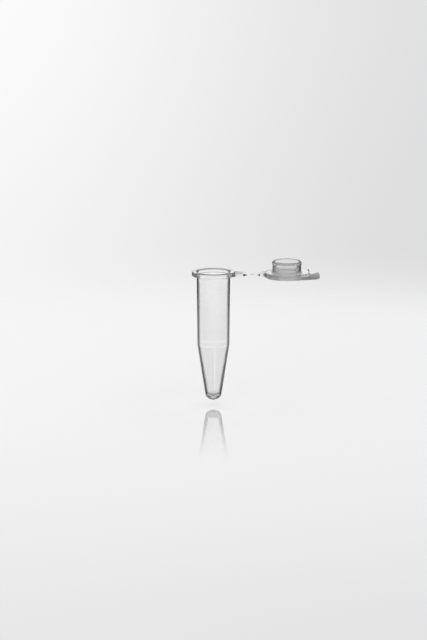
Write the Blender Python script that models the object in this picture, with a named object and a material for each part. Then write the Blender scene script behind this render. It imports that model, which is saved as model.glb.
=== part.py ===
"""Snap-lid microcentrifuge tube, 0.5 mL, with its lid open.

The tube stands upright on the Z axis with the underside of its collar at Z = 0. A strap runs from the collar
towards +X to the lid, which lies wide open with its plug pointing up. The strap's film folds along two lines
parallel to Y, a quarter turn at each, and that brings the lid over the mouth and the plug into the bore.

Units are metres.
"""

import math

import bmesh
import bpy

# Barrel, cone and base: radii are outside radii.
BARREL_RADIUS = 0.00390
BARREL_LENGTH = 0.01640
BARREL_DRAFT = 0.00015
WALL = 0.00043
CONE_LENGTH = 0.01170
TIP_RADIUS = 0.00191
BASE_HEIGHT = 0.00157
FLOOR_THICKNESS = 0.00095
FLOOR_DISH = 0.00105
GATE_RADIUS = 0.00042
GATE_HEIGHT = 0.00008

# Collar round the mouth, with its lead-in for the plug.
COLLAR_OVERHANG = 0.00115
COLLAR_THICKNESS = 0.00100
COLLAR_EDGE = 0.00012
LIP_THICKNESS = 0.00045
LEAD_IN = 0.00037

# Lid: plate, plug with its sealing bead, and thumb tab.
PLATE_OVERHANG = 0.00011
PLATE_THICKNESS = 0.00118
PLATE_EDGE = 0.00014
PLUG_HEIGHT = 0.00275
PLUG_WALL = 0.00073
BEAD_FROM_TIP = 0.00063
BEAD_LAND = 0.00014
BEAD_RISE = 0.00005
BEAD_RAMP = 0.00045
TIP_NARROWING = 0.00018
TIP_LAND = 0.00012
TAB_LENGTH = 0.00250
TAB_TAPER = math.radians(17)
TAB_SPREAD = math.radians(52)
TAB_THICKNESS = 0.00068
TAB_CORNER = 0.00190

# Strap: two thick arms and the film between their fold lines.
STRAP_REACH = 0.00296
STRAP_DROP = 0.00065
ROOT_WIDTH = 0.00440
END_WIDTH = 0.00280
ROOT_THICKNESS = 0.00064
END_THICKNESS = 0.00050
FILM_THICKNESS = 0.00020
FILM_RAMP = 0.00045
TUBE_LIP = 0.00022
LID_LIP = 0.00112
LID_DROP = 0.00020

# Clearances.
BEAD_CLEARANCE = 0.00004
SEAT_CLEARANCE = 0.00004
SWING_CLEARANCE = 0.00002
FOLD_CLEARANCE = 0.00003
JOIN_CLEARANCE = 0.00002

# Facets.
ROUND_STEPS = 48
DOME_STEPS = 6
CORNER_STEPS = 5
ARM_STEPS = 8
TAB_STEPS = 14
SHARP_ANGLE = math.radians(35)
MERGE_DISTANCE = 0.000001

# Sizes that follow from the ones above.
SHOULDER_RADIUS = BARREL_RADIUS - BARREL_DRAFT
BORE_RADIUS = BARREL_RADIUS - WALL
COLLAR_RADIUS = BARREL_RADIUS + COLLAR_OVERHANG
PLATE_RADIUS = COLLAR_RADIUS + PLATE_OVERHANG
LIP_LEVEL = COLLAR_THICKNESS - LIP_THICKNESS
LID_LEVEL = COLLAR_THICKNESS - LID_DROP
STRAP_LEVEL = COLLAR_THICKNESS - STRAP_DROP
FOLD_GAP = FILM_THICKNESS / 2 + FOLD_CLEARANCE
BEAD_RADIUS = BORE_RADIUS - BEAD_CLEARANCE
BEAD_TOP = PLUG_HEIGHT - BEAD_FROM_TIP
BEAD_FOOT = BEAD_TOP - BEAD_LAND
SKIRT_RADIUS = BEAD_RADIUS - BEAD_RISE

# The film stands upright when the lid is shut, so its length sets how high the lid then sits.
FOLD_SPAN = COLLAR_THICKNESS + LID_LEVEL + SEAT_CLEARANCE - 2 * STRAP_LEVEL
TUBE_FOLD_X = COLLAR_RADIUS + STRAP_REACH
LID_FOLD_X = TUBE_FOLD_X + FOLD_SPAN
# Folded about both lines, the lid's axis lands on the tube's.
LID_X = TUBE_FOLD_X + LID_FOLD_X

# The plug swings in on an arc. The far side of its bead first bulges out along a parabola, which climbs by
# SWING_OUT while it rises SWING_LIFT at its steepest, so the bore opens by that much above the seal.
BEAD_REACH = LID_X - LID_FOLD_X + BEAD_RADIUS
BEAD_SWING = 2 * (LID_LEVEL + BEAD_TOP - STRAP_LEVEL) - FOLD_SPAN
SWING_OUT = BEAD_SWING**2 / (8 * BEAD_REACH)
SWING_LIFT = BEAD_SWING / 4
MOUTH_RADIUS = BORE_RADIUS + SWING_OUT + SWING_CLEARANCE
SEAL_LEVEL = COLLAR_THICKNESS + SEAT_CLEARANCE - BEAD_TOP


def clear_scene():
    """Empty the scene that the script starts in."""
    for found in list(bpy.data.objects):
        bpy.data.objects.remove(found, do_unlink=True)


def clear_plastic(name, tint, roughness):
    """A translucent moulded plastic."""
    material = bpy.data.materials.new(name)
    material.use_nodes = True
    shader = material.node_tree.nodes["Principled BSDF"]
    shader.inputs["Base Color"].default_value = (*tint, 1.0)
    shader.inputs["Roughness"].default_value = roughness
    shader.inputs["Metallic"].default_value = 0.0
    shader.inputs["IOR"].default_value = 1.49
    shader.inputs["Transmission Weight"].default_value = 0.9
    return material


def add_axis(name, place, parent=None):
    """An empty on a fold line, which carries the pieces that turn about it."""
    empty = bpy.data.objects.new(name, None)
    empty.empty_display_size = FOLD_SPAN
    empty.location = place
    empty.parent = parent
    bpy.context.scene.collection.objects.link(empty)
    return empty


def add_piece(name, bm, material, place=(0, 0, 0), parent=None):
    """Turn a finished bmesh into a named, smooth-shaded object."""
    bmesh.ops.recalc_face_normals(bm, faces=bm.faces)
    mesh = bpy.data.meshes.new(name)
    bm.to_mesh(mesh)
    bm.free()
    mesh.materials.append(material)
    mesh.shade_smooth()
    mesh.set_sharp_from_angle(angle=SHARP_ANGLE)
    piece = bpy.data.objects.new(name, mesh)
    piece.location = place
    piece.parent = parent
    bpy.context.scene.collection.objects.link(piece)
    return piece


def turned(profile, closed):
    """Spin (radius, height) points about Z. A closed profile is a ring; an open one starts and ends on the axis."""
    bm = bmesh.new()
    points = [bm.verts.new((radius, 0, height)) for radius, height in profile]
    pairs = list(zip(points, points[1:]))
    if closed:
        pairs.append((points[-1], points[0]))
    edges = [bm.edges.new(pair) for pair in pairs]
    bmesh.ops.spin(
        bm,
        geom=points + edges,
        axis=(0, 0, 1),
        cent=(0, 0, 0),
        angle=2 * math.pi,
        steps=ROUND_STEPS,
        use_merge=True,
    )
    bmesh.ops.remove_doubles(bm, verts=bm.verts, dist=MERGE_DISTANCE)
    return bm


def extruded(outline, low, high):
    """A flat outline of (x, y) points given a thickness along Z."""
    bm = bmesh.new()
    face = bm.faces.new([bm.verts.new((x, y, low)) for x, y in outline])
    top = bmesh.ops.extrude_face_region(bm, geom=[face])["geom"]
    raised = [item for item in top if isinstance(item, bmesh.types.BMVert)]
    bmesh.ops.translate(bm, verts=raised, vec=(0, 0, high - low))
    bmesh.ops.remove_doubles(bm, verts=bm.verts, dist=MERGE_DISTANCE)
    return bm


def lofted(sections):
    """Skin a row of closed loops, each a lower row of points and then an upper row run back, and cap both ends."""
    bm = bmesh.new()
    loops = [[bm.verts.new(point) for point in section] for section in sections]
    count = len(loops[0])
    for loop, following in zip(loops, loops[1:]):
        for i in range(count):
            j = (i + 1) % count
            bm.faces.new((loop[i], loop[j], following[j], following[i]))
    for loop in (loops[0], loops[-1]):
        for i in range(count // 2 - 1):
            bm.faces.new((loop[i], loop[i + 1], loop[count - 2 - i], loop[count - 1 - i]))
    return bm


def arc(radius, start, end, steps, centre=(0, 0)):
    """Points on a circle from one angle to another, both ends included."""
    angles = [start + (end - start) * i / steps for i in range(steps + 1)]
    return [(centre[0] + radius * math.cos(a), centre[1] + radius * math.sin(a)) for a in angles]


def dome(radius, start_height, drop):
    """Half an ellipse in (radius, height), from its rim at start_height down to the axis."""
    quarter = arc(1.0, 0, math.pi / 2, DOME_STEPS)
    return [(radius * across, start_height - drop * down) for across, down in quarter]


def cone_radius(level):
    """Outside radius of the cone, continued below it, at a level."""
    share = (-BARREL_LENGTH - level) / CONE_LENGTH
    return SHOULDER_RADIUS + (TIP_RADIUS - SHOULDER_RADIUS) * share


def make_tube_body(material):
    """Barrel, cone and domed base, hollow, with the bore opened above the seal."""
    shoulder = -BARREL_LENGTH
    base_top = shoulder - CONE_LENGTH
    bottom = base_top - BASE_HEIGHT
    dish_top = bottom + FLOOR_THICKNESS + FLOOR_DISH
    end = LIP_LEVEL - JOIN_CLEARANCE
    base = [point for point in dome(TIP_RADIUS, base_top, BASE_HEIGHT) if point[0] > GATE_RADIUS]
    # A small round gate mark stands at the middle of the base.
    gate_root = base_top - BASE_HEIGHT * math.sqrt(1 - (GATE_RADIUS / TIP_RADIUS) ** 2)
    outside = [
        (0, bottom - GATE_HEIGHT),
        (GATE_RADIUS, bottom - GATE_HEIGHT),
        (GATE_RADIUS, gate_root),
        *reversed(base),
        (SHOULDER_RADIUS, shoulder),
        (BARREL_RADIUS, 0),
        (BARREL_RADIUS, end),
    ]
    inside = [
        (MOUTH_RADIUS, end),
        (MOUTH_RADIUS, SEAL_LEVEL + SWING_LIFT),
        (BORE_RADIUS, SEAL_LEVEL),
        (SHOULDER_RADIUS - WALL, shoulder),
        *dome(cone_radius(dish_top) - WALL, dish_top, FLOOR_DISH),
    ]
    return add_piece("tube_body", turned(outside + inside, closed=False), material)


def make_rim_collar(material):
    """Flange round the mouth: a ring on the barrel, with a lip that covers the barrel's end and leads the plug in."""
    profile = [
        (MOUTH_RADIUS + LEAD_IN, COLLAR_THICKNESS),
        (COLLAR_RADIUS - COLLAR_EDGE, COLLAR_THICKNESS),
        (COLLAR_RADIUS, COLLAR_THICKNESS - COLLAR_EDGE),
        (COLLAR_RADIUS, COLLAR_EDGE),
        (COLLAR_RADIUS - COLLAR_EDGE, 0),
        (BARREL_RADIUS + JOIN_CLEARANCE, 0),
        (BARREL_RADIUS + JOIN_CLEARANCE, LIP_LEVEL),
        (MOUTH_RADIUS, LIP_LEVEL),
    ]
    return add_piece("rim_collar", turned(profile, closed=True), material)


def arm_sections(root_radius, reach, lip):
    """Loops along a strap arm, from the round edge that it grows out of to the fold line, at the origin's level.

    The arm starts on a circle of root_radius about Z and ends at X = reach, with a lip as thin as the film.
    """
    lip_start = reach - lip
    ramp_start = lip_start - FILM_RAMP
    stations = [
        (None, ROOT_WIDTH, ROOT_THICKNESS),
        (ramp_start, END_WIDTH, END_THICKNESS),
        (lip_start, END_WIDTH, FILM_THICKNESS),
        (reach, END_WIDTH, FILM_THICKNESS),
    ]
    sections = []
    for place, width, thickness in stations:
        across = [width * (i / ARM_STEPS - 0.5) for i in range(ARM_STEPS + 1)]
        row = [(math.sqrt(root_radius**2 - y**2) if place is None else place, y) for y in across]
        below = [(x, y, -thickness / 2) for x, y in row]
        above = [(x, y, thickness / 2) for x, y in reversed(row)]
        sections.append(below + above)
    return sections


def make_strap_tube_arm(material):
    """Thick half of the strap, from the collar to the first fold line."""
    sections = arm_sections(COLLAR_RADIUS + JOIN_CLEARANCE, TUBE_FOLD_X - FOLD_GAP, TUBE_LIP)
    return add_piece("strap_tube_arm", lofted(sections), material, (0, 0, STRAP_LEVEL))


def make_hinge_film(material, axis):
    """Thin film between the two fold lines."""
    half = END_WIDTH / 2
    start = FOLD_GAP
    end = FOLD_SPAN - FOLD_GAP
    outline = [(start, -half), (end, -half), (end, half), (start, half)]
    bm = extruded(outline, -FILM_THICKNESS / 2, FILM_THICKNESS / 2)
    return add_piece("hinge_film", bm, material, parent=axis)


def make_strap_lid_arm(material, axis):
    """Thick half of the strap on the lid: the tube's arm turned to face it."""
    to_fold = LID_X - LID_FOLD_X
    sections = arm_sections(PLATE_RADIUS + JOIN_CLEARANCE, to_fold - FOLD_GAP, LID_LIP)
    facing = [[(-x, -y, z) for x, y, z in section] for section in sections]
    return add_piece("strap_lid_arm", lofted(facing), material, (to_fold, 0, 0), axis)


def lid_place(height):
    """A place on the lid's axis, seen from the second fold line, at a height above the lid's inner face."""
    return (LID_X - LID_FOLD_X, 0, LID_LEVEL + height - STRAP_LEVEL)


def make_lid_plate(material, axis):
    """Round plate with eased edges, inner face up while the lid is open."""
    profile = [
        (0, 0),
        (PLATE_RADIUS - PLATE_EDGE, 0),
        (PLATE_RADIUS, -PLATE_EDGE),
        (PLATE_RADIUS, PLATE_EDGE - PLATE_THICKNESS),
        (PLATE_RADIUS - PLATE_EDGE, -PLATE_THICKNESS),
        (0, -PLATE_THICKNESS),
    ]
    return add_piece("lid_plate", turned(profile, closed=False), material, lid_place(0), axis)


def make_seal_plug(material, axis):
    """Hollow plug with the bead that seals in the bore and a tip that tapers to find the mouth."""
    tip_radius = BEAD_RADIUS - TIP_NARROWING
    inner_radius = SKIRT_RADIUS - PLUG_WALL
    profile = [
        (tip_radius - TIP_LAND, PLUG_HEIGHT),
        (tip_radius, PLUG_HEIGHT - TIP_LAND / 2),
        (BEAD_RADIUS, BEAD_TOP),
        (BEAD_RADIUS, BEAD_FOOT),
        (SKIRT_RADIUS, BEAD_FOOT - BEAD_RAMP),
        (SKIRT_RADIUS, JOIN_CLEARANCE),
        (inner_radius, JOIN_CLEARANCE),
        (inner_radius, BEAD_TOP),
    ]
    return add_piece("seal_plug", turned(profile, closed=True), material, lid_place(0), axis)


def make_thumb_tab(material, axis):
    """Lifting tab with round corners, level with the lid's outer face. Its sides run off the plate as tangents."""
    root = PLATE_RADIUS + JOIN_CLEARANCE
    facing = math.pi / 2 - TAB_TAPER
    side = PLATE_RADIUS / math.cos(facing - TAB_SPREAD)
    shoulder_x = side * math.cos(TAB_SPREAD)
    shoulder_y = side * math.sin(TAB_SPREAD)
    corner = min(TAB_CORNER, TAB_LENGTH)
    corner_x = PLATE_RADIUS + TAB_LENGTH - corner
    corner_y = (PLATE_RADIUS - corner - corner_x * math.cos(facing)) / math.sin(facing)
    outline = [
        *arc(root, TAB_SPREAD, -TAB_SPREAD, TAB_STEPS),
        (shoulder_x, -shoulder_y),
        *arc(corner, -facing, 0, CORNER_STEPS, (corner_x, -corner_y)),
        *arc(corner, 0, facing, CORNER_STEPS, (corner_x, corner_y)),
        (shoulder_x, shoulder_y),
    ]
    bm = extruded(outline, -PLATE_THICKNESS, TAB_THICKNESS - PLATE_THICKNESS)
    return add_piece("thumb_tab", bm, material, lid_place(0), axis)


def main():
    """Build the tube, its strap and its open lid."""
    clear_scene()
    wall = clear_plastic("tube_plastic", (0.90, 0.91, 0.91), 0.10)
    rim = clear_plastic("rim_plastic", (0.88, 0.89, 0.89), 0.12)
    strap = clear_plastic("strap_plastic", (0.90, 0.91, 0.91), 0.18)
    lid = clear_plastic("lid_plastic", (0.82, 0.83, 0.83), 0.16)
    plug = clear_plastic("plug_plastic", (0.84, 0.85, 0.85), 0.10)
    tube_fold = add_axis("tube_fold_axis", (TUBE_FOLD_X, 0, STRAP_LEVEL))
    lid_fold = add_axis("lid_fold_axis", (FOLD_SPAN, 0, 0), tube_fold)
    make_tube_body(wall)
    make_rim_collar(rim)
    make_strap_tube_arm(strap)
    make_hinge_film(strap, tube_fold)
    make_strap_lid_arm(strap, lid_fold)
    make_lid_plate(lid, lid_fold)
    make_seal_plug(plug, lid_fold)
    make_thumb_tab(lid, lid_fold)


main()
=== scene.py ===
"""Dressed scene of a small clear sample tube with its snap lid open.

Two mouldings carry the looks: the tube with its collar and half of the strap, and the lid with its plug,
thumb tab and the other half. Each is one unbroken skin of clear plastic, so light bends through it as it does
through the real moulding. Sizes in the classes are millimetres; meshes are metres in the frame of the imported
model.
"""

import logging
import math
from dataclasses import dataclass, field
from enum import Enum
from typing import Any, Mapping, Sequence, Union

import bpy
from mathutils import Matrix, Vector


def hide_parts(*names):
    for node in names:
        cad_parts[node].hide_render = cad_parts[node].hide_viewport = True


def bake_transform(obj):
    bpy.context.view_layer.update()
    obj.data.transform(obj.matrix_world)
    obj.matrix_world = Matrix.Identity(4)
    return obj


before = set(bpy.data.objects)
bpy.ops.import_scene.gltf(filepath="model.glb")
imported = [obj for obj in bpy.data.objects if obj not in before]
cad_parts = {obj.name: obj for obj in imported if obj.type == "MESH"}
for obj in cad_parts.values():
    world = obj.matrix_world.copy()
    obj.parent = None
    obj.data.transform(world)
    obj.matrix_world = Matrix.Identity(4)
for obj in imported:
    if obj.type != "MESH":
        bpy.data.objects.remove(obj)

log = logging.getLogger("sample_tube")

MM = 0.001
PICTURE_WIDTH = 427
PICTURE_HEIGHT = 640

Point = tuple[float, float]
Triple = tuple[float, float, float]
Number = Union[int, float]
Colour = tuple[float, float, float, float]


class Body(Enum):
    """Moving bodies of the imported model."""

    TUBE = "tube"
    FILM = "strap_film"
    LID = "lid"


class Slot(Enum):
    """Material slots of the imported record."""

    TUBE_WALL = "tube_wall"
    LID = "lid"


def grey(level: float) -> Colour:
    """A neutral colour of one linear level."""
    return (level, level, level, 1.0)


class Value:
    """A socket of a node graph that takes part in Python sums.

    Each sum adds the Math node that does it, so a pattern reads as the expression that it is.
    """

    def __init__(self, graph: "Graph", socket: bpy.types.NodeSocket) -> None:
        """Wrap an output socket of a graph's node."""
        self.graph = graph
        self.socket = socket

    def _sum(self, operation: str, first: Any, second: Any = 0.0, clamp: bool = False) -> "Value":
        """Add one Math node.

        Args:
            operation: name of the Math node's operation.
            first: value or number on the first socket.
            second: value or number on the second socket.
            clamp: whether the result is held between 0 and 1.

        Returns:
            The node's result.
        """
        settings = {"operation": operation, "use_clamp": clamp}
        return self.graph.node("ShaderNodeMath", settings, {0: first, 1: second})[0]

    def __add__(self, other: Any) -> "Value":
        """Sum with a value or number."""
        return self._sum("ADD", self, other)

    __radd__ = __add__

    def __sub__(self, other: Any) -> "Value":
        """Difference from a value or number."""
        return self._sum("SUBTRACT", self, other)

    def __rsub__(self, other: Any) -> "Value":
        """Difference of a number from this value."""
        return self._sum("SUBTRACT", other, self)

    def __mul__(self, other: Any) -> "Value":
        """Product with a value or number."""
        return self._sum("MULTIPLY", self, other)

    __rmul__ = __mul__

    def __truediv__(self, other: Any) -> "Value":
        """Quotient by a value or number."""
        return self._sum("DIVIDE", self, other)

    def root(self) -> "Value":
        """Square root."""
        return self._sum("SQRT", self)

    def at_least(self, least: Number) -> "Value":
        """The larger of this value and a number."""
        return self._sum("MAXIMUM", self, least)

    def above(self, low: Number, high: Number) -> "Value":
        """Smooth step that is 0 at low and 1 at high.

        Args:
            low: where the step starts.
            high: where the step ends; it may be the smaller of the two.

        Returns:
            A value from 0 to 1.
        """
        share = self._sum("ADD", (self - low) * (1.0 / (high - low)), 0.0, clamp=True)
        return share * share * (3.0 - 2.0 * share)


def between(share: Value, first: Any, second: Any) -> Value:
    """Pass from one level to another.

    Args:
        share: how far the passage has come, from 0 to 1.
        first: value or number at a share of 0.
        second: value or number at a share of 1.

    Returns:
        The level at that share.
    """
    return first * (1.0 - share) + second * share


class Outputs:
    """Output sockets of one node, by number or name."""

    def __init__(self, graph: "Graph", node: bpy.types.Node) -> None:
        """Keep the node and its graph."""
        self.graph = graph
        self.made = node

    def __getitem__(self, key: Union[int, str]) -> Value:
        """The output at a number or name."""
        return Value(self.graph, self.made.outputs[key])


class Graph:
    """A node tree that is emptied and built anew."""

    def __init__(self, tree: bpy.types.NodeTree) -> None:
        """Take over a tree and clear it."""
        tree.nodes.clear()
        self.tree = tree

    def node(self, kind: str, settings: Mapping[str, Any], sockets: Mapping[Union[int, str], Any]) -> Outputs:
        """Add a node.

        Args:
            kind: Blender's name of the node's type.
            settings: properties that are set before anything is linked.
            sockets: what goes on each input: a value to link, or a number or colour to set.

        Returns:
            The node's outputs.
        """
        made = self.tree.nodes.new(kind)
        for name, setting in settings.items():
            setattr(made, name, setting)
        for key, given in sockets.items():
            if isinstance(given, Value):
                self.tree.links.new(given.socket, made.inputs[key])
            else:
                made.inputs[key].default_value = given
        return Outputs(self, made)

    def mix(self, share: Any, first: Any, second: Any) -> Value:
        """Blend two colours.

        Args:
            share: how much of the second colour shows.
            first: colour at a share of 0.
            second: colour at a share of 1.

        Returns:
            The blended colour.
        """
        settings = {"data_type": "RGBA", "blend_type": "MIX"}
        return self.node("ShaderNodeMix", settings, {0: share, 6: first, 7: second})[2]

    def layered(self, share: Any, under: Outputs, over: Outputs) -> Outputs:
        """Blend two surfaces.

        Args:
            share: how much of the second surface shows.
            under: surface at a share of 0.
            over: surface at a share of 1.

        Returns:
            The blended surface.
        """
        return self.node("ShaderNodeMixShader", {}, {0: share, 1: under[0], 2: over[0]})

    def matt(self, level: float) -> Outputs:
        """A matt surface of one grey."""
        return self.node("ShaderNodeBsdfDiffuse", {}, {"Color": grey(level)})

    def place(self, stretch: Triple = (1.0, 1.0, 1.0)) -> Value:
        """Places on the piece, in metres of its own frame.

        Args:
            stretch: factor along each axis.

        Returns:
            The stretched place.
        """
        where = self.node("ShaderNodeTexCoord", {}, {})["Object"]
        return self.node("ShaderNodeMapping", {}, {"Vector": where, "Scale": stretch})[0]

    def noise(self, where: Value, grains_per_mm: float, detail: float) -> Value:
        """Soft noise from 0 to 1.

        Args:
            where: place that the noise is read at.
            grains_per_mm: how fine it is.
            detail: how many finer layers it has.

        Returns:
            The noise's value.
        """
        sockets = {"Vector": where, "Scale": grains_per_mm / MM, "Detail": detail}
        return self.node("ShaderNodeTexNoise", {}, sockets)[0]


# marks on the meshes, and what the zones of a finish are counted by
PLACE_MARK = "moulding_place"
OUTWARD_MARK = "moulding_outward"
LEAST_ROUND = 1.6
SLANT = 0.76
FAR = 99.0
LOOKS_AWAY = (0.3, 0.7)


@dataclass(frozen=True)
class Spot:
    """Where a point of a moulding lies, counted from the moulding's own axis."""

    along: Value
    aside: Value
    slant: Value
    across: Value
    height: Value
    outward: Value
    outline: Value
    entering: Value

    @classmethod
    def of(cls, graph: Graph) -> "Spot":
        """Read a spot from the marks that the bench left on the mesh.

        Args:
            graph: node tree of the finish.

        Returns:
            The spot. Its outline is how near the line of sight passes to the edge of a round wall. A wall that
            is seen edge on is a long way through the plastic, but the dark that the zones tint into it by this
            measure is mostly painted shade, for the dark that such a wall bends into view.
        """
        place = graph.node("ShaderNodeAttribute", {"attribute_name": PLACE_MARK}, {})["Vector"]
        parts = graph.node("ShaderNodeSeparateXYZ", {}, {0: place})
        along, aside, height = parts["X"], parts["Y"], parts["Z"]
        across = (along * along + aside * aside).root()
        outward = graph.node("ShaderNodeAttribute", {"attribute_name": OUTWARD_MARK}, {})["Fac"]
        straight_on = 1.0 - graph.node("ShaderNodeLayerWeight", {}, {})["Facing"]
        outline = across.at_least(LEAST_ROUND * MM) * (1.0 - (1.0 - straight_on * straight_on).root())
        entering = 1.0 - graph.node("ShaderNodeNewGeometry", {}, {})["Backfacing"]
        return cls(along, aside, along - SLANT * aside, across, height, outward, outline, entering)


@dataclass(frozen=True)
class Zone:
    """A part of a moulding whose finish differs, bounded in millimetres from the moulding's own axis.

    The tint colours what passes the skin; where a zone greys or pales it, that is mostly painted shade or
    painted light. The cover says how much of the thin skin shows at all. The matt share is how much of the
    skin is matt, and the shade is the grey of that matt skin: painted shade where it is dark, painted
    highlights and painted light where it is pale, and a plain matt grey under the lid's middle. One that is
    None stays as it was.

    Along counts with the strap, aside counts across it, slant is along less a part of aside, and across is
    the distance from the axis. A bound at FAR is open. The outline holds where the zone is full and where it
    has ended, both as distances from the edge of a round wall. Outer zones keep to walls that look away from
    the axis, and to light on its way in. Each bound is eased over soft to either side; fade, where given,
    takes its place at the bounds of along and slant, and at those of aside.
    """

    tint: Union[float, None] = None
    cover: Union[float, None] = None
    matt_and_painted_light: Union[float, None] = None
    shade: Union[float, None] = None
    along: Union[Point, None] = None
    aside: Union[Point, None] = None
    slant: Union[Point, None] = None
    across: Union[Point, None] = None
    height: Union[Point, None] = None
    outline: Union[Point, None] = None
    outer: bool = False
    soft: float = 0.06
    fade: Union[Point, None] = None

    def share(self, spot: Spot) -> Value:
        """How much a spot belongs to the zone.

        Args:
            spot: the spot on the moulding.

        Returns:
            A value from 0 to 1.
        """
        steps: list[Value] = []
        ends, sides = self.fade or (self.soft, self.soft)
        bounded = (
            (self.along, spot.along, ends),
            (self.aside, spot.aside, sides),
            (self.slant, spot.slant, ends),
            (self.across, spot.across, self.soft),
            (self.height, spot.height, self.soft),
        )
        for bounds, reading, soft in bounded:
            if bounds is None:
                continue
            low, high = bounds
            if low > -FAR:
                steps.append(reading.above((low - soft) * MM, (low + soft) * MM))
            if high < FAR:
                steps.append(reading.above((high + soft) * MM, (high - soft) * MM))
        if self.outline is not None:
            full, none = self.outline
            steps.append(spot.outline.above(none * MM, full * MM))
        if self.outer:
            steps.extend((spot.outward.above(*LOOKS_AWAY), spot.entering))
        return math.prod(steps[1:], start=steps[0])


@dataclass(frozen=True)
class ClearPlastic:
    """Clear natural polypropylene as it comes out of a polished mould.

    Faint flow marks and a fine grain ripple the skin, and vary its tint and roughness too. Absorption is what
    a millimetre of the plastic takes from the light. Where the skin is matt, passing is the share of its light
    that goes through. Most of its zones put painted shade or painted light on the skin.
    """

    name: str
    tint: float
    roughness: float
    roughness_spread: float
    ripple: float
    ripple_stretch: Triple
    absorption: float
    zones: tuple[Zone, ...]
    refraction: float = 1.49
    shade: float = 0.30
    passing: float = 0.50
    flow_per_mm: float = 1.1
    flow_layers: float = 2.0
    flow_shows: Point = (0.35, 0.75)
    flow_tint: float = 0.985
    flow_share: float = 0.7
    grain_per_mm: float = 2.6
    grain_layers: float = 3.0
    ripple_depth: float = 0.02
    depth_grey: float = 0.5

    def material(self) -> bpy.types.Material:
        """Build the finish.

        Returns:
            A material that bends light, takes a little of it on its way, and changes from zone to zone, mostly
            by painted shade and painted light.
        """
        made = bpy.data.materials.new(self.name)
        made.use_nodes = True
        graph = Graph(made.node_tree)
        spot = Spot.of(graph)
        flow = graph.noise(graph.place(self.ripple_stretch), self.flow_per_mm, self.flow_layers)
        grain = graph.noise(graph.place(), self.grain_per_mm, self.grain_layers)
        colour = graph.mix(flow.above(*self.flow_shows), grey(self.tint), grey(self.flow_tint * self.tint))
        cover: Any = 1.0
        matt_and_painted_light: Any = 0.0
        shade: Any = self.shade
        # the zones lay painted shade and painted light on the tint and on the matt layer
        for zone in self.zones:
            share = zone.share(spot)
            if zone.tint is not None:
                colour = graph.mix(share, colour, grey(zone.tint))
            if zone.cover is not None:
                cover = between(share, cover, zone.cover)
            if zone.matt_and_painted_light is not None:
                matt_and_painted_light = between(share, matt_and_painted_light, zone.matt_and_painted_light)
            if zone.shade is not None:
                shade = between(share, shade, zone.shade)
        relief = flow * self.flow_share + grain * (1.0 - self.flow_share)
        bump = {"Strength": self.ripple, "Distance": self.ripple_depth * MM, "Height": relief}
        skin = graph.node(
            "ShaderNodeBsdfPrincipled",
            {},
            {
                "Base Color": colour,
                "Roughness": self.roughness + self.roughness_spread * grain,
                "IOR": self.refraction,
                "Transmission Weight": 1.0,
                "Alpha": cover,
                "Normal": graph.node("ShaderNodeBump", {}, bump)[0],
            },
        )
        # matt layer whose grey is painted shade where dark, painted highlights and painted light where pale,
        # and a plain matt grey under the lid's middle
        white = graph.layered(
            self.passing,
            graph.matt(1.0),
            graph.node("ShaderNodeBsdfTranslucent", {}, {"Color": grey(1.0)}),
        )
        surface = graph.layered(matt_and_painted_light, skin, graph.layered(shade, graph.matt(0.0), white))
        density = self.absorption / (1.0 - self.depth_grey) / MM
        inside = {"Color": grey(self.depth_grey), "Density": density}
        depth = graph.node("ShaderNodeVolumeAbsorption", {}, inside)
        graph.node("ShaderNodeOutputMaterial", {}, {"Surface": surface[0], "Volume": depth[0]})
        return made


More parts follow.
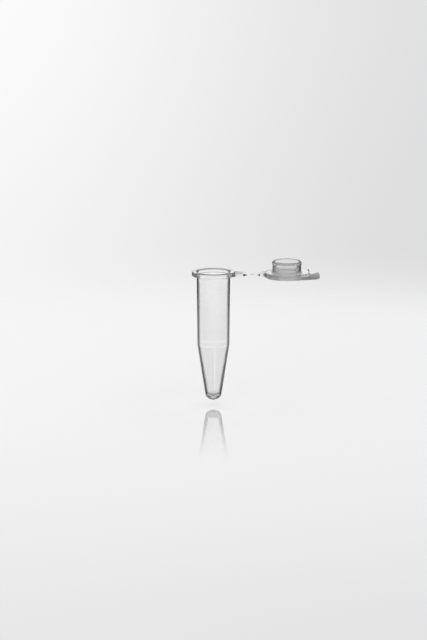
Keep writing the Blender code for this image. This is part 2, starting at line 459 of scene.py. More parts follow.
TUBE_PLASTIC = ClearPlastic(
    name="tube_clear_plastic",
    tint=0.95,
    roughness=0.02,
    roughness_spread=0.03,
    ripple=0.03,
    ripple_stretch=(1.0, 1.0, 0.15),
    absorption=0.02,
    zones=(
        # walls, greyed towards their outline by painted shade
        Zone(tint=0.80, height=(-FAR, -0.02), outline=(0.60, 3.40), outer=True),
        # pale rings of painted light at the shoulder, and a pale streak down the cone
        Zone(tint=0.973, height=(-16.55, -16.25), soft=0.10),
        Zone(tint=0.965, height=(-15.30, -14.90), soft=0.15),
        Zone(tint=0.97, along=(0.15, 0.45), height=(-28.00, -16.80), soft=0.12),
        # dark edges of the walls: painted shade, more than the long way through the plastic takes
        Zone(tint=0.004, height=(-28.20, -0.02), outline=(0.36, 0.80), outer=True),
        # domed base and its thick floor: grey tint and matt grey of painted shade, painted-shade outlines,
        # and a dark painted stripe across the floor for the bowl's edge as it is bent into view
        Zone(
            tint=0.50, matt_and_painted_light=0.35, shade=0.70,
            aside=(-FAR, 0.20), across=(1.45, FAR), height=(-28.80, -28.40),
        ),
        Zone(tint=0.50, matt_and_painted_light=0.35, shade=0.70, aside=(-FAR, 0.20), height=(-FAR, -28.78)),
        Zone(tint=0.01, across=(1.45, FAR), height=(-28.80, -28.10), outline=(0.18, 0.50)),
        Zone(tint=0.01, height=(-FAR, -28.78), outline=(0.10, 0.52)),
        Zone(
            matt_and_painted_light=0.60, shade=0.10, soft=0.08,
            aside=(-0.30, 0.30), across=(-FAR, 1.40), height=(-28.80, -28.15),
        ),
        # collar: painted shade on its rim and ends, round its lead-in, and on the front of its upper face
        Zone(tint=0.75, across=(4.80, 5.12), height=(0.72, FAR), soft=0.12),
        Zone(tint=0.22, across=(4.80, 5.12), height=(-0.10, 1.10), outline=(1.40, 2.20), outer=True),
        Zone(tint=0.50, across=(3.66, 4.03), height=(0.68, 0.98)),
        Zone(
            matt_and_painted_light=0.55, shade=0.25, soft=0.10, fade=(0.80, 0.80),
            aside=(-1.00, FAR), across=(3.75, 4.20), height=(0.80, FAR),
        ),
        Zone(
            matt_and_painted_light=0.70, shade=0.18, soft=0.15, fade=(0.90, 0.90),
            aside=(-FAR, -2.40), across=(3.95, 4.95), height=(0.88, FAR),
        ),
        # strap from its root over the ramp to the film: painted shade at its root and along its far edge,
        # a painted dark mark on the ramp, and a faint grey patch on the film
        Zone(matt_and_painted_light=0.60, shade=0.35, along=(4.30, 5.04), aside=(-FAR, -1.50), across=(5.00, FAR)),
        Zone(cover=0.20, along=(5.09, FAR), soft=0.03),
        Zone(matt_and_painted_light=0.55, shade=0.25, along=(5.05, 7.10), aside=(1.40, FAR), fade=(0.12, 0.12)),
        Zone(cover=1.0, matt_and_painted_light=1.0, shade=0.01, along=(6.95, 7.85), aside=(-FAR, -1.32), soft=0.03),
        Zone(matt_and_painted_light=0.30, shade=0.40, along=(8.20, FAR), aside=(-0.75, 0.15), fade=(0.45, 0.45)),
    ),
)
LID_PLASTIC = ClearPlastic(
    name="lid_clear_plastic",
    tint=0.95,
    roughness=0.03,
    roughness_spread=0.04,
    ripple=0.12,
    ripple_stretch=(0.6, 1.0, 1.0),
    absorption=0.06,
    zones=(
        # plug: its wall greyed and its edges darkened by painted shade, painted light on the far side of its
        # hollow, and a pale grey of painted light over the dark at its foot
        Zone(tint=0.82, across=(2.55, 3.46), height=(0.95, 2.60)),
        Zone(tint=0.04, height=(0.90, FAR), outline=(0.35, 0.95), outer=True),
        Zone(
            matt_and_painted_light=0.32, shade=1.00, soft=0.10, fade=(1.30, 1.30),
            aside=(0.00, FAR), across=(2.55, 3.12), height=(2.20, 3.48),
        ),
        Zone(matt_and_painted_light=0.50, shade=0.75, across=(3.36, 3.85), height=(0.78, 1.25)),
        # a matt grey under the plate's thick middle, painted shade under the front of the plate, painted
        # light on the hollow's floor, and a painted dark line at the floor's far edge
        Zone(matt_and_painted_light=0.80, shade=0.85, across=(-FAR, 3.60), height=(-FAR, -0.25), soft=0.20),
        Zone(
            matt_and_painted_light=0.80, shade=0.85, soft=0.60,
            aside=(-FAR, -1.30), across=(-FAR, 4.95), height=(-FAR, -0.25),
        ),
        Zone(matt_and_painted_light=0.80, shade=1.00, across=(-FAR, 2.30), height=(0.70, 0.90), soft=0.10),
        Zone(
            matt_and_painted_light=0.60, shade=0.30, fade=(0.50, 0.90),
            aside=(0.60, FAR), across=(2.42, 2.64), height=(0.76, 0.88),
        ),
        # thumb tab and the plate's edge beside it: painted shade on the tab's near part, the step and the
        # plate's edge, and painted highlights along the near edges of the step and the plate
        Zone(matt_and_painted_light=0.70, shade=0.42, along=(5.20, FAR), slant=(5.57, FAR), fade=(0.45, 0.45)),
        Zone(
            matt_and_painted_light=0.65, shade=0.45, fade=(1.20, 0.50),
            along=(3.00, 5.80), aside=(-FAR, -1.00), across=(5.20, FAR), height=(-FAR, 0.62),
        ),
        Zone(
            matt_and_painted_light=0.50, shade=0.25, soft=0.10, fade=(0.25, 0.25),
            along=(2.80, 5.50), aside=(-FAR, -3.45), height=(0.76, FAR),
        ),
        Zone(matt_and_painted_light=1.00, shade=1.00, along=(3.30, 5.15), aside=(-FAR, -3.60), height=(0.52, 0.76)),
        Zone(
            matt_and_painted_light=0.60, shade=0.90, soft=0.10, fade=(0.25, 0.25),
            along=(-0.35, 0.75), aside=(-FAR, -4.70), height=(0.60, FAR),
        ),
        # painted shade at the end of the step at the tab's root
        Zone(tint=0.005, along=(5.05, 5.75), aside=(0.60, FAR), height=(0.32, FAR), outline=(0.15, 0.45)),
        Zone(
            matt_and_painted_light=0.95, shade=0.01, fade=(0.04, 0.60),
            along=(5.02, 5.30), aside=(1.70, FAR), height=(0.70, FAR),
        ),
        # plug's rim and bead, and its wall towards the tab: painted shade
        Zone(tint=0.60, across=(2.95, FAR), height=(2.75, FAR), outer=True),
        Zone(tint=0.45, aside=(0.20, FAR), across=(2.80, FAR), height=(3.30, FAR), fade=(0.30, 0.30)),
        Zone(
            tint=0.005,
            along=(2.70, FAR), across=(3.15, 3.60), height=(1.10, 3.05), outline=(0.55, 1.20), outer=True,
        ),
        # painted shade on the plate's far edge and at the strap's root, a painted dark mark on the strap's
        # ramp, and a faint grey patch on the film
        Zone(
            matt_and_painted_light=0.60, shade=0.10, fade=(0.80, 0.80),
            along=(-FAR, -1.20), aside=(0.90, FAR), across=(4.90, FAR), height=(0.60, FAR),
        ),
        Zone(
            matt_and_painted_light=0.60, shade=0.28, soft=0.40,
            along=(-5.40, -3.90), aside=(-FAR, -0.60), across=(5.00, FAR),
        ),
        Zone(cover=0.20, along=(-FAR, -5.30)),
        Zone(cover=1.0, matt_and_painted_light=1.0, shade=0.03, along=(-6.85, -6.30), aside=(-FAR, -1.32), soft=0.03),
        Zone(matt_and_painted_light=0.30, shade=0.40, along=(-FAR, -7.55), aside=(-0.75, 0.15), fade=(0.45, 0.45)),
    ),
)


@dataclass(frozen=True)
class Corner:
    """A corner of a turned section: its distance from the axis, its height, and how far it is eased."""

    across: float
    height: float
    ease: float = 0.0

    @property
    def point(self) -> Vector:
        """The corner as a vector."""
        return Vector((self.across, self.height))


EASE_STEPS = 6
SUPPORT = 1.2
SUPPORT_ROOM = 2.0
BOWL_STEPS = 12


def eased(corners: Sequence[Corner]) -> list[Point]:
    """Round the corners of a section.

    Args:
        corners: corners in order; the first and last are kept sharp.

    Returns:
        Points of the section. A point beside each rounding keeps the flats next to it true.
    """
    path: list[Point] = []
    for index, corner in enumerate(corners):
        if not corner.ease or index in (0, len(corners) - 1):
            path.append((corner.across, corner.height))
            continue
        here = corner.point
        back = corners[index - 1].point - here
        on = corners[index + 1].point - here
        start = back.normalized() * corner.ease
        end = on.normalized() * corner.ease
        if back.length > SUPPORT_ROOM * corner.ease:
            path.append(tuple(here + start * SUPPORT))
        for step in range(EASE_STEPS + 1):
            share = step / EASE_STEPS
            path.append(tuple(here + start * (1.0 - share) ** 2 + end * share**2))
        if on.length > SUPPORT_ROOM * corner.ease:
            path.append(tuple(here + end * SUPPORT))
    return path


def bowl(
    radius: float, rim: float, drop: float, innermost: float = 0.0, fullness: float = 1.0
) -> list[Corner]:
    """Half an ellipse on a section, from its lowest point to its rim.

    Args:
        radius: half its width.
        rim: height of its rim.
        drop: how far its lowest point lies under the rim.
        innermost: distance from the axis that the row starts at.
        fullness: power of the ellipse's sine and cosine; under 1 its flanks are fuller.

    Returns:
        Corners from the axis, or from innermost, out to the rim.
    """
    start = math.asin((innermost / radius) ** (1 / fullness))
    turns = [start + (math.pi / 2 - start) * step / BOWL_STEPS for step in range(BOWL_STEPS)]
    outs = [radius * math.sin(turn) ** fullness for turn in turns]
    falls = [drop * math.cos(turn) ** fullness for turn in turns]
    return [Corner(out, rim - fall) for out, fall in zip(outs, falls)] + [Corner(radius, rim)]


@dataclass(frozen=True)
class Station:
    """A cross-section of a strap arm: its place along X, its width and its thickness."""

    along: float
    width: float
    thickness: float


class Bench:
    """Mesh work in edit mode, as by hand."""

    ROUND_STEPS = 160
    MERGE = 0.001 * MM
    SMOOTH_UNDER = math.radians(38)
    EDGE_STEPS = 4

    @staticmethod
    def start(name: str) -> bpy.types.Object:
        """Deselect everything and add a small plane to work from.

        Args:
            name: name of the new object.

        Returns:
            The object, active and in edit mode with all of it selected.
        """
        bpy.ops.object.select_all(action="DESELECT")
        bpy.ops.mesh.primitive_plane_add(size=MM, location=(0, 0, 0))
        made = bpy.context.active_object
        made.name = made.data.name = name
        bpy.ops.object.mode_set(mode="EDIT")
        bpy.ops.mesh.select_mode(type="VERT")
        bpy.ops.mesh.select_all(action="SELECT")
        return made

    @staticmethod
    def close(merge: float) -> None:
        """Merge doubles, turn the faces outwards and leave edit mode.

        Args:
            merge: distance under which points become one.
        """
        bpy.ops.mesh.select_all(action="SELECT")
        bpy.ops.mesh.remove_doubles(threshold=merge)
        bpy.ops.mesh.normals_make_consistent(inside=False)
        bpy.ops.object.mode_set(mode="OBJECT")

    @classmethod
    def turn(cls, name: str, section: Sequence[Point], centre: float = 0.0) -> bpy.types.Object:
        """Draw a section point by point and spin it about an upright axis.

        Args:
            name: name of the new object.
            section: (distance from the axis, height) points, from the axis back to the axis.
            centre: place of the axis along X.

        Returns:
            The turned solid.
        """
        made = cls.start(name)
        bpy.ops.mesh.merge(type="CENTER")
        across, height = section[0]
        bpy.ops.transform.translate(value=((centre + across) * MM, 0, height * MM))
        for (from_across, from_height), (across, height) in zip(section, section[1:]):
            step = ((across - from_across) * MM, 0, (height - from_height) * MM)
            bpy.ops.mesh.extrude_vertices_move(TRANSFORM_OT_translate={"value": step})
        bpy.ops.mesh.select_all(action="SELECT")
        bpy.ops.mesh.spin(
            steps=cls.ROUND_STEPS,
            angle=2 * math.pi,
            center=(centre * MM, 0, 0),
            axis=(0, 0, 1),
        )
        cls.close(cls.MERGE)
        return made

    @classmethod
    def draw_out(
        cls, name: str, stations: Sequence[Station], level: float, corner: float
    ) -> bpy.types.Object:
        """Extrude a flat bar with round edges through a row of cross-sections.

        Args:
            name: name of the new object.
            stations: cross-sections in order along X.
            level: height of the bar's middle.
            corner: how far the bar's long edges are rounded at its first section.

        Returns:
            The bar.
        """
        made = cls.start(name)
        first = stations[0]
        bpy.ops.transform.rotate(
            value=math.pi / 2,
            orient_axis="Y",
            center_override=(0, 0, 0),
        )
        bpy.ops.transform.resize(
            value=(1, first.width, first.thickness),
            center_override=(0, 0, 0),
        )
        bpy.ops.transform.translate(value=(first.along * MM, 0, level * MM))
        bpy.ops.mesh.bevel(offset=corner * MM, segments=cls.EDGE_STEPS, affect="VERTICES")
        bpy.ops.mesh.select_all(action="SELECT")
        for before, after in zip(stations, stations[1:]):
            step = ((after.along - before.along) * MM, 0, 0)
            bpy.ops.mesh.extrude_region_move(TRANSFORM_OT_translate={"value": step})
            bpy.ops.transform.resize(
                value=(1, after.width / before.width, after.thickness / before.thickness),
                center_override=(after.along * MM, 0, level * MM),
            )
        cls.close(cls.MERGE)
        return made

    @staticmethod
    def fuse(base: bpy.types.Object, other: bpy.types.Object) -> None:
        """Join a solid into another, so that no wall is left between them.

        Args:
            base: the solid that is kept.
            other: the solid that goes into it.
        """
        bpy.ops.object.select_all(action="DESELECT")
        base.select_set(True)
        bpy.context.view_layer.objects.active = base
        bpy.ops.object.modifier_add(type="BOOLEAN")
        union = base.modifiers[-1]
        union.operation = "UNION"
        union.solver = "EXACT"
        union.object = other
        bpy.ops.object.modifier_apply(modifier=union.name)
        bpy.data.objects.remove(other, do_unlink=True)

    @classmethod
    def smooth(cls, made: bpy.types.Object) -> None:
        """Shade a piece smoothly apart from its sharp corners."""
        bpy.ops.object.select_all(action="DESELECT")
        made.select_set(True)
        bpy.context.view_layer.objects.active = made
        bpy.ops.object.shade_smooth_by_angle(angle=cls.SMOOTH_UNDER)

    @staticmethod
    def mark(made: bpy.types.Object, centre: float = 0.0) -> None:
        """Mark each point with its place from the moulding's axis and how far it looks away from that axis.

        The finish reads these marks, so it stays on the surface when the strap folds.

        Args:
            made: the moulding.
            centre: place of its axis along X.
        """
        mesh = made.data
        axis = Vector((centre * MM, 0, 0))
        places = [vertex.co - axis for vertex in mesh.vertices]
        mark = mesh.attributes.new(PLACE_MARK, "FLOAT_VECTOR", "POINT")
        mark.data.foreach_set("vector", [part for place in places for part in place])
        normals = [vertex.normal.xy for vertex in mesh.vertices]
        outward = [normal.dot(place.xy.normalized()) for normal, place in zip(normals, places)]
        mesh.attributes.new(OUTWARD_MARK, "FLOAT", "POINT").data.foreach_set("value", outward)


@dataclass
class StrapHalf:
    """Half of the strap: a thick arm, its ramp, and half of the film that folds."""

    root: float
    tip: float
    ramp_start: float
    ramp_end: float
    root_width: float
    level: float = 0.35
    width: float = 2.80
    root_thickness: float = 0.64
    thickness: float = 0.50
    film: float = 0.20
    corner: float = 0.10
    flare_power: float = 1.6
    flare_steps: int = 6
    ramp_steps: int = 4
    film_steps: int = 16

    def stations(self) -> list[Station]:
        """Cross-sections from the root to the film's middle.

        Returns:
            The stations: a flared arm, a smooth ramp, then the film in steps fine enough to bend.
        """
        found = []
        for step in range(self.flare_steps + 1):
            share = step / self.flare_steps
            flare = (1.0 - share) ** self.flare_power
            found.append(
                Station(
                    self.root + (self.ramp_start - self.root) * share,
                    self.width + (self.root_width - self.width) * flare,
                    self.root_thickness + (self.thickness - self.root_thickness) * share,
                )
            )
        for step in range(1, self.ramp_steps + 1):
            share = step / self.ramp_steps
            fall = share * share * (3.0 - 2.0 * share)
            found.append(
                Station(
                    self.ramp_start + (self.ramp_end - self.ramp_start) * share,
                    self.width,
                    self.thickness + (self.film - self.thickness) * fall,
                )
            )
        for step in range(1, self.film_steps + 1):
            share = step / self.film_steps
            found.append(Station(self.ramp_end + (self.tip - self.ramp_end) * share, self.width, self.film))
        return found

    def build(self, name: str) -> bpy.types.Object:
        """Make the half strap.

        Args:
            name: name of the new object.

        Returns:
            The solid, which still has its root inside what it grows from.
        """
        return Bench.draw_out(name, self.stations(), self.level, self.corner)


@dataclass
class Tube:
    """Barrel, cone, domed base, collar and the tube's half of the strap, in one moulding."""

    barrel: float = 3.94
    shoulder: float = 3.79
    shoulder_level: float = -16.40
    shoulder_ease: float = 0.30
    tip: float = 1.94
    tip_level: float = -28.10
    base_height: float = 1.60
    base_fullness: float = 0.92
    gate: float = 0.42
    gate_flare: float = 0.05
    gate_draft: float = 0.02
    gate_ease: float = 0.05
    gate_level: float = -29.75
    bore: float = 3.50
    mouth: float = 3.67
    seal_level: float = -2.60
    seal_ease: float = 1.50
    bore_shoulder: float = 3.32
    floor: float = 1.548
    floor_level: float = -27.67
    floor_dish: float = 1.05
    collar: float = 5.05
    collar_thickness: float = 1.00
    collar_root_ease: float = 0.10
    collar_low_ease: float = 0.15
    collar_high_ease: float = 0.18
    lead_in: float = 4.035
    lead_in_ease: float = 0.10
    lip_level: float = 0.68
    lip_ease: float = 0.14
    fold: float = 8.01
    fold_reach: float = 0.42
    strap: StrapHalf = field(
        default_factory=lambda: StrapHalf(
            root=4.40,
            tip=8.575,
            ramp_start=7.21,
            ramp_end=7.66,
            root_width=4.90,
        )
    )

    def section(self) -> list[Point]:
        """The moulding's section, from the gate mark up the outside and down the bore to its floor.

        Returns:
            Rounded (distance from the axis, height) points.
        """
        gate_root = self.gate + self.gate_flare
        outside = bowl(self.tip, self.tip_level, self.base_height, gate_root, self.base_fullness)
        inside = bowl(self.floor, self.floor_level, self.floor_dish)
        return eased(
            [
                Corner(0.0, self.gate_level),
                Corner(self.gate - self.gate_draft, self.gate_level, self.gate_ease),
                *outside,
                Corner(self.shoulder, self.shoulder_level, self.shoulder_ease),
                Corner(self.barrel, 0.0, self.collar_root_ease),
                Corner(self.collar, 0.0, self.collar_low_ease),
                Corner(self.collar, self.collar_thickness, self.collar_high_ease),
                Corner(self.lead_in, self.collar_thickness, self.lead_in_ease),
                Corner(self.mouth, self.lip_level, self.lip_ease),
                Corner(self.bore, self.seal_level, self.seal_ease),
                Corner(self.bore_shoulder, self.shoulder_level, self.shoulder_ease),
                *reversed(inside),
            ]
        )

    def build(self) -> bpy.types.Object:
        """Make the moulding and hide the imported parts that it stands in for.

        Returns:
            The finished piece.
        """
        made = Bench.turn("tube_moulding", self.section())
        Bench.fuse(made, self.strap.build("tube_strap_half"))
        Bench.smooth(made)
        Bench.mark(made)
        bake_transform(made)
        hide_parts("tube_body", "rim_collar", "strap_tube_arm")
        return made

    def dress(self, made: bpy.types.Object) -> None:
        """Give the moulding its finish."""
        made.data.materials.clear()
        made.data.materials.append(TUBE_PLASTIC.material())


@dataclass
class Lid:
    """Plate, hollow plug with a sealing bead, thumb tab and the lid's half of the strap, in one moulding."""

    axis: float = 17.16
    plate: float = 5.16
    underside: float = -0.38
    underside_ease: float = 0.20
    inner_face: float = 0.80
    inner_face_ease: float = 0.18
    skirt: float = 3.36
    skirt_foot_ease: float = 0.42
    bead: float = 3.475
    bead_foot: float = 2.33
    bead_foot_ease: float = 0.20
    bead_low: float = 2.74
    bead_high: float = 3.02
    bead_ease: float = 0.06
    shoulder: float = 3.42
    shoulder_level: float = 3.28
    shoulder_ease: float = 0.08
    tip: float = 3.28
    tip_level: float = 3.42
    rim: float = 3.13
    rim_level: float = 3.49
    rim_ease: float = 0.05
    hollow: float = 2.65
    hollow_ease: float = 0.16
    hollow_top: float = 2.78
    hollow_top_ease: float = 0.20
    tab_root: float = 1.90
    tab_end: float = 7.66
    tab_taper: float = 17.0
    tab_corner: float = 1.90
    tab_corner_steps: int = 16
    tab_low: float = -0.37
    tab_high: float = 0.30
    tab_edge: float = 0.11
    rise_end: float = 5.25
    rise_foot: float = 5.75
    rise_inset: float = 0.03
    rise_sunk: float = 0.01
    root_margin: float = 0.01
    upright_over: float = 0.1
    fold: float = 9.15
    fold_reach: float = 0.42
    strap: StrapHalf = field(
        default_factory=lambda: StrapHalf(
            root=12.86,
            tip=8.585,
            ramp_start=10.85,
            ramp_end=10.40,
            root_width=4.90,
            film_steps=30,
        )
    )

    def section(self) -> list[Point]:
        """The lid's section, from the outer face round the plate, up the plug and into its hollow.

        Returns:
            Rounded (distance from the lid's axis, height) points.
        """
        return eased(
            [
                Corner(0.0, self.underside),
                Corner(self.plate, self.underside, self.underside_ease),
                Corner(self.plate, self.inner_face, self.inner_face_ease),
                Corner(self.skirt, self.inner_face, self.skirt_foot_ease),
                Corner(self.skirt, self.bead_foot, self.bead_foot_ease),
                Corner(self.bead, self.bead_low, self.bead_ease),
                Corner(self.bead, self.bead_high, self.bead_ease),
                Corner(self.shoulder, self.shoulder_level, self.shoulder_ease),
                Corner(self.tip, self.tip_level, self.rim_ease),
                Corner(self.rim, self.rim_level, self.rim_ease),
                Corner(self.hollow_top, self.bead_high, self.hollow_top_ease),
                Corner(self.hollow, self.inner_face, self.hollow_ease),
                Corner(0.0, self.inner_face),
            ]
        )

    def tab(self) -> bpy.types.Object:
        """Make the thumb tab.

        Returns:
            A tongue with round corners and eased edges, whose root is still inside the plate. Its sides run
            off the plate as tangents.
        """
        made = self._tongue("thumb_tab_blank", self.tab_end, 0.0, self.tab_low, self.tab_high)
        self._choose_edges(made, upright=True)
        half_corner = math.radians(90.0 + self.tab_taper) / 2
        offset = self.tab_corner / math.tan(half_corner) * MM
        bpy.ops.mesh.bevel(offset=offset, segments=self.tab_corner_steps, affect="EDGES")
        self._choose_edges(made, upright=False)
        bpy.ops.mesh.bevel(offset=self.tab_edge * MM, segments=Bench.EDGE_STEPS, affect="EDGES")
        Bench.close(Bench.MERGE)
        return made

    def rise(self) -> bpy.types.Object:
        """Make the step at the tab's root.

        Returns:
            A block as wide as the tab, level with the plate's inner face, whose end slopes down to the tab.
        """
        low, high = (self.tab_low + self.tab_high) / 2, self.inner_face - self.rise_sunk
        made = self._tongue("tab_rise_blank", self.rise_foot, self.rise_inset, low, high)
        bpy.ops.mesh.select_all(action="DESELECT")
        bpy.ops.object.mode_set(mode="OBJECT")
        for vertex in made.data.vertices:
            place = vertex.co / MM
            vertex.select = place.x > self.axis + self.rise_end and place.z > (low + high) / 2
        bpy.ops.object.mode_set(mode="EDIT")
        foot_half = self._tab_half(self.rise_foot) - self.rise_inset
        end_half = self._tab_half(self.rise_end) - self.rise_inset
        bpy.ops.transform.translate(value=((self.rise_end - self.rise_foot) * MM, 0, 0))
        bpy.ops.transform.resize(value=(1, end_half / foot_half, 1), center_override=(0, 0, 0))
        self._choose_edges(made, upright=False)
        bpy.ops.mesh.bevel(offset=self.tab_edge * MM, segments=Bench.EDGE_STEPS, affect="EDGES")
        Bench.close(Bench.MERGE)
        return made

    def _tongue(self, name: str, end: float, inset: float, low: float, high: float) -> bpy.types.Object:
        """Make a block between the two tangents that the tab's sides follow.

        Args:
            name: name of the new object.
            end: its free end, counted from the lid's axis.
            inset: how far its sides stay inside the tangents.
            low: height of its lower face.
            high: height of its upper face.

        Returns:
            The block, in edit mode with its upper face selected.
        """
        made = Bench.start(name)
        length = end - self.tab_root
        root_half, end_half = (self._tab_half(along) - inset for along in (self.tab_root, end))
        bpy.ops.transform.resize(value=(length, 2 * root_half, 1), center_override=(0, 0, 0))
        middle = self.axis + (end + self.tab_root) / 2
        bpy.ops.transform.translate(value=(middle * MM, 0, low * MM))
        bpy.ops.mesh.select_all(action="DESELECT")
        bpy.ops.object.mode_set(mode="OBJECT")
        for vertex in made.data.vertices:
            vertex.select = vertex.co.x > middle * MM
        bpy.ops.object.mode_set(mode="EDIT")
        bpy.ops.transform.resize(value=(1, end_half / root_half, 1), center_override=(0, 0, 0))
        bpy.ops.mesh.select_all(action="SELECT")
        bpy.ops.mesh.extrude_region_move(TRANSFORM_OT_translate={"value": (0, 0, (high - low) * MM)})
        return made

    def _tab_half(self, along: float) -> float:
        """Half the tab's width at a distance from the lid's axis, before its corners are rounded."""
        taper = math.radians(self.tab_taper)
        return (self.plate - along * math.sin(taper)) / math.cos(taper)

    def _choose_edges(self, made: bpy.types.Object, upright: bool) -> None:
        """Select the tab's free upright edges, or the edges round its two faces.

        Args:
            made: the tab, in edit mode.
            upright: whether the upright edges at its free end are meant.
        """
        bpy.ops.mesh.select_mode(type="EDGE")
        bpy.ops.mesh.select_all(action="DESELECT")
        bpy.ops.object.mode_set(mode="OBJECT")
        free = (self.axis + self.tab_root + self.root_margin) * MM
        for edge in made.data.edges:
            first, second = (made.data.vertices[index].co for index in edge.vertices)
            stands = abs(first.z - second.z) > self.upright_over * MM
            at_end = min(first.x, second.x) > free
            if upright:
                edge.select = stands and at_end
            else:
                edge.select = not stands and max(first.x, second.x) > free
        bpy.ops.object.mode_set(mode="EDIT")

    def build(self) -> bpy.types.Object:
        """Make the moulding and hide the imported parts that it stands in for.

        Returns:
            The finished piece.
        """
        made = Bench.turn("lid_moulding", self.section(), self.axis)
        Bench.fuse(made, self.tab())
        Bench.fuse(made, self.rise())
        Bench.fuse(made, self.strap.build("lid_strap_half"))
        Bench.smooth(made)
        Bench.mark(made, self.axis)
        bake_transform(made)
        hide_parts("hinge_film", "strap_lid_arm", "lid_plate", "seal_plug", "thumb_tab")
        return made

    def dress(self, made: bpy.types.Object) -> None:
        """Give the moulding its finish."""
        made.data.materials.clear()
        made.data.materials.append(LID_PLASTIC.material())


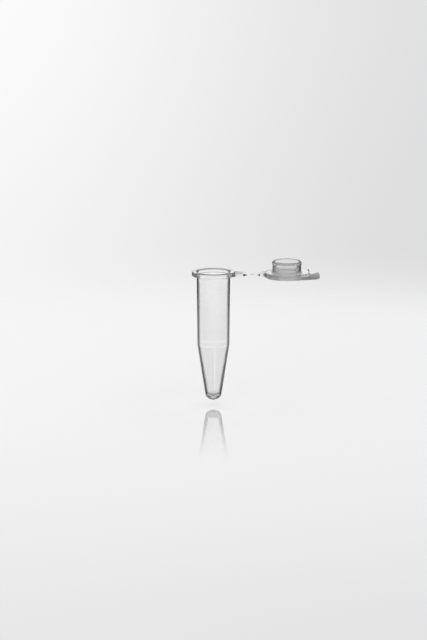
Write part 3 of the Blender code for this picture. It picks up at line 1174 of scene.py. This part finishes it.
@dataclass
class Studio:
    """Pale floor, soft surroundings and the camera of the photograph.

    A pair holds where a change starts and ends, or the two levels that it runs between. Places on the floor
    are counted from the tube's axis, those on the backdrop and the ceiling by the direction of sight, and the
    flags, two dark strips either side of straight ahead, in degrees.
    """

    floor_level: float = -31.02
    floor_radius: float = 420.0
    floor_corners: int = 96
    floor_fade: Point = (70.0, 170.0)
    # the floor's grey: painted shade that falls off to the right and towards the camera, and painted light
    # that lifts it under the tube where its shadow would fall
    floor_nearness: Point = (20.0, -150.0)
    floor_width: Point = (-70.0, 70.0)
    floor_left: Point = (0.918, 0.85)
    floor_right: Point = (0.880, 0.83)
    painted_light_under_reach: Point = (18.0, 5.0)
    painted_light_under_level: float = 0.97
    gloss: float = 0.52
    gloss_reach: Point = (58.0, 4.0)
    gloss_level: float = 0.95
    gloss_roughness: float = 0.05
    backdrop_width: Point = (-0.10, 0.10)
    wall_height: Point = (-0.19, -0.08)
    wall_left: Point = (0.905, 0.975)
    wall_right: Point = (0.715, 0.745)
    below_depth: Point = (-0.20, -0.33)
    below_left: Point = (0.918, 0.80)
    below_right: Point = (0.88, 0.765)
    horizon: Point = (-0.172, -0.205)
    window: float = 0.95
    flags: tuple[float, float, float, float] = (12.0, 18.0, 38.0, 50.0)
    flag: float = 0.10
    ceiling: float = 0.50
    ceiling_height: Point = (0.32, 0.60)
    aim: Triple = (0.02, 0.0, -10.63)
    distance: float = 650.0
    elevation: float = 11.5
    pixels_per_mm: float = 4.26
    sensor: float = 36.0
    nearest: float = 10.0
    farthest: float = 10000.0

    def lay_floor(self) -> bpy.types.Object:
        """Make a wide round floor whose rim fades into the surroundings.

        Returns:
            The floor, marked as stage.
        """
        bpy.ops.object.select_all(action="DESELECT")
        bpy.ops.mesh.primitive_circle_add(
            vertices=self.floor_corners,
            radius=self.floor_radius * MM,
            fill_type="NGON",
            location=(0, 0, self.floor_level * MM),
        )
        bpy.ops.object.transform_apply(location=True, rotation=True, scale=True)
        made = bpy.context.active_object
        made.name = "pale_floor"
        made.data.materials.append(self._floor_finish())
        return made

    def _floor_finish(self) -> bpy.types.Material:
        """A pale sheet with a soft gloss that fades out towards its rim.

        Returns:
            The floor's material.
        """
        made = bpy.data.materials.new("pale_gloss_floor")
        made.use_nodes = True
        graph = Graph(made.node_tree)
        where = graph.node("ShaderNodeSeparateXYZ", {}, {0: graph.place()})
        across, deep = where["X"], where["Y"]
        reach = (across * across + deep * deep).root() / MM
        # painted shade darkens the sheet to the right and towards the camera; painted light lifts it under the
        # tube where the tube's shadow would fall
        nearness = (deep / MM).above(*self.floor_nearness)
        left, right = between(nearness, *self.floor_left), between(nearness, *self.floor_right)
        sides = between((across / MM).above(*self.floor_width), left, right)
        level = between(reach.above(*self.painted_light_under_reach), sides, self.painted_light_under_level)
        sheet = graph.layered(level, graph.matt(0.0), graph.matt(1.0))
        shine = {"Color": grey(self.gloss_level), "Roughness": self.gloss_roughness}
        mirror = graph.node("ShaderNodeBsdfGlossy", {}, shine)
        polished = graph.layered(reach.above(*self.gloss_reach) * self.gloss, sheet, mirror)
        clear = graph.node("ShaderNodeBsdfTransparent", {}, {})
        shown = graph.layered(reach.above(*self.floor_fade), polished, clear)
        graph.node("ShaderNodeOutputMaterial", {}, {"Surface": shown[0]})
        return made

    def light(self) -> None:
        """Surround the object with plain soft light and a pale backdrop that glass and gloss also see."""
        scene = bpy.context.scene
        scene.world = bpy.data.worlds.new("soft_surroundings")
        scene.world.use_nodes = True
        graph = Graph(scene.world.node_tree)
        toward = graph.node("ShaderNodeTexCoord", {}, {})["Generated"]
        parts = graph.node("ShaderNodeSeparateXYZ", {}, {0: toward})
        side, deep, up = parts["X"], parts["Y"], parts["Z"]
        rays = graph.node("ShaderNodeLightPath", {}, {})
        across = side.above(*self.backdrop_width)
        height = up.above(*self.wall_height)
        depth = up.above(*self.below_depth)
        wall = between(across, between(height, *self.wall_left), between(height, *self.wall_right))
        below = between(across, between(depth, *self.below_left), between(depth, *self.below_right))
        backdrop = between(up.above(*self.horizon), wall, below)
        ahead = deep / (side * side + deep * deep).root()
        start, full, last, end = (math.cos(math.radians(turn)) for turn in self.flags)
        flagged = ahead.above(start, full) * ahead.above(end, last)
        flat = between(flagged, self.window, self.flag)
        surroundings = between(up.above(*self.ceiling_height), flat, self.ceiling)
        first_hit = 1.0 - rays["Diffuse Depth"].above(0.0, 1.0)
        through = (rays["Is Glossy Ray"] + rays["Is Transmission Ray"]).above(0.0, 1.0) * first_hit
        around = between(through, 1.0, surroundings)
        level = between(rays["Is Camera Ray"], around, backdrop)
        glow = graph.node("ShaderNodeBackground", {}, {"Color": level, "Strength": 1.0})
        graph.node("ShaderNodeOutputWorld", {}, {"Surface": glow[0]})
        scene.view_settings.view_transform = "Standard"

    def place_camera(self) -> None:
        """Set the camera up at the photograph's angle and framing."""
        data = bpy.data.cameras.new("camera")
        made = bpy.data.objects.new("camera", data)
        bpy.context.scene.collection.objects.link(made)
        slope = math.radians(self.elevation)
        back = Vector((0.0, -math.cos(slope), math.sin(slope)))
        made.location = (Vector(self.aim) + back * self.distance) * MM
        made.rotation_euler = (-back).to_track_quat("-Z", "Y").to_euler()
        data.sensor_fit = "AUTO"
        data.sensor_width = self.sensor
        data.lens = self.sensor * self.distance * self.pixels_per_mm / max(PICTURE_WIDTH, PICTURE_HEIGHT)
        data.clip_start = self.nearest * MM
        data.clip_end = self.farthest * MM
        bpy.context.scene.camera = made


def main() -> None:
    """Build the tube, the lid and their surroundings."""
    logging.basicConfig(level=logging.INFO, format="%(name)s: %(message)s")
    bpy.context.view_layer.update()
    studio = Studio()
    studio.place_camera()
    for part in (Tube(), Lid()):
        made = part.build()
        part.dress(made)
        log.info("%s has %d faces", made.name, len(made.data.polygons))
    studio.lay_floor()
    studio.light()


if __name__ == "__main__":
    main()
